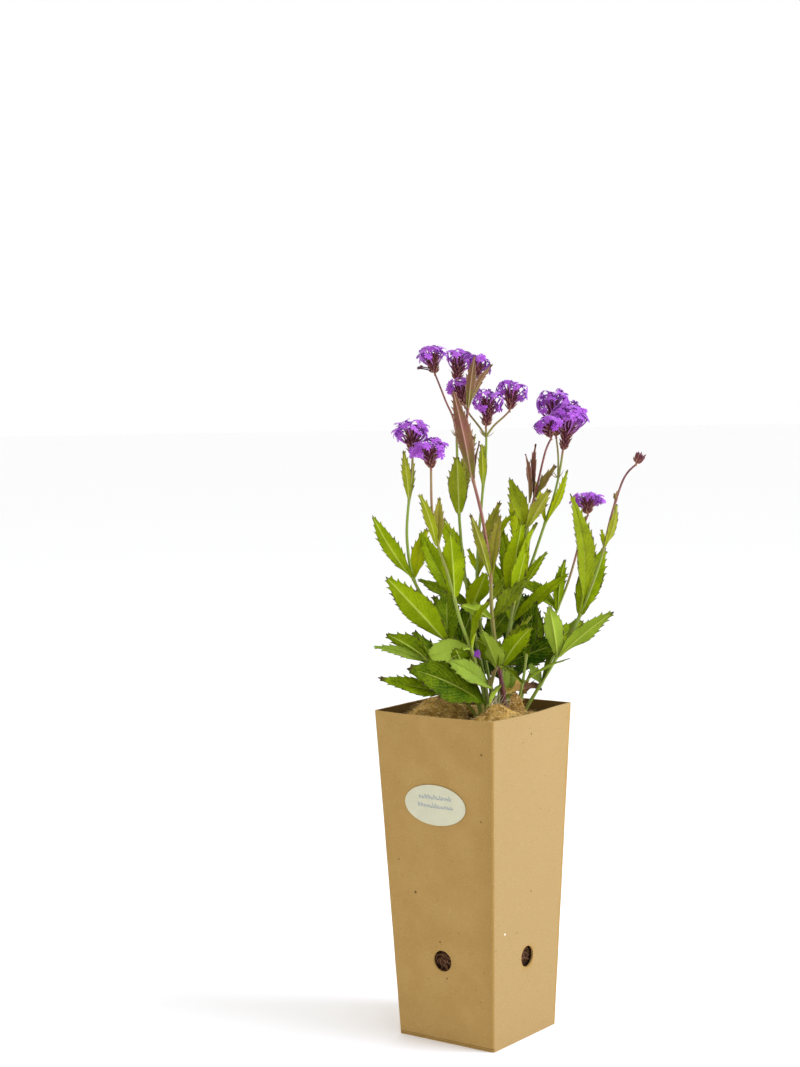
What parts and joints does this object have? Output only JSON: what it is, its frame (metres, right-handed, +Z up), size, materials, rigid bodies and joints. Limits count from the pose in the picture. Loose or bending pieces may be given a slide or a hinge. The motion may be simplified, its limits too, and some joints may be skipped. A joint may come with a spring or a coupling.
{
  "type": "potted verbena",
  "caption": "Upright flowering verbena with toothed leaves and violet flower heads, growing in a tall square tapered card pot with drain holes.",
  "frame": {"origin": "centre of the flat underside of the pot", "axes": "+Z up along the pot; the side with the oval label faces -Y"},
  "size_m": [0.1406, 0.1565, 0.4383],
  "materials": {
    "brown_board": "matte brown fibre board with fine flecks",
    "cream_paper": "satin cream sticker, blank",
    "potting_soil": "dark crumbly potting soil with fine roots",
    "tan_felt": "coarse tan coir felt",
    "leaf_green": "fresh leaf, slightly rough, yellow green with pale veins",
    "calyx_maroon": "dark maroon hairy calyces",
    "floret_violet": "soft violet petals"
  },
  "bodies": {
    "root": {"pot": "brown_board", "oval_label": "cream_paper", "soil": "potting_soil", "mulch_felt": "tan_felt", "leafy_stem_1": "leaf_green", "leafy_stem_2": "leaf_green", "leafy_stem_3": "leaf_green", "leafy_stem_4": "leaf_green", "leafy_stem_5": "leaf_green", "leafy_stem_6": "leaf_green", "leafy_stem_7": "leaf_green", "leafy_stem_8": "leaf_green", "leafy_stem_9": "leaf_green", "basal_shoot_1": "leaf_green", "basal_shoot_2": "leaf_green", "basal_shoot_3": "leaf_green", "basal_shoot_4": "leaf_green", "head_1_calyx": "calyx_maroon", "head_2_calyx": "calyx_maroon", "head_3_calyx": "calyx_maroon", "head_4_calyx": "calyx_maroon", "head_5_calyx": "calyx_maroon", "head_6_calyx": "calyx_maroon", "head_7_calyx": "calyx_maroon", "head_8_calyx": "calyx_maroon", "head_9_calyx": "calyx_maroon", "head_10_calyx": "calyx_maroon", "head_11_calyx": "calyx_maroon", "head_12_calyx": "calyx_maroon", "bud_1": "calyx_maroon", "head_1_florets": "floret_violet", "head_2_florets": "floret_violet", "head_3_florets": "floret_violet", "head_4_florets": "floret_violet", "head_5_florets": "floret_violet", "head_6_florets": "floret_violet", "head_7_florets": "floret_violet", "head_8_florets": "floret_violet", "head_9_florets": "floret_violet", "head_10_florets": "floret_violet", "head_11_florets": "floret_violet", "head_12_florets": "floret_violet"}
  },
  "joints": []
}
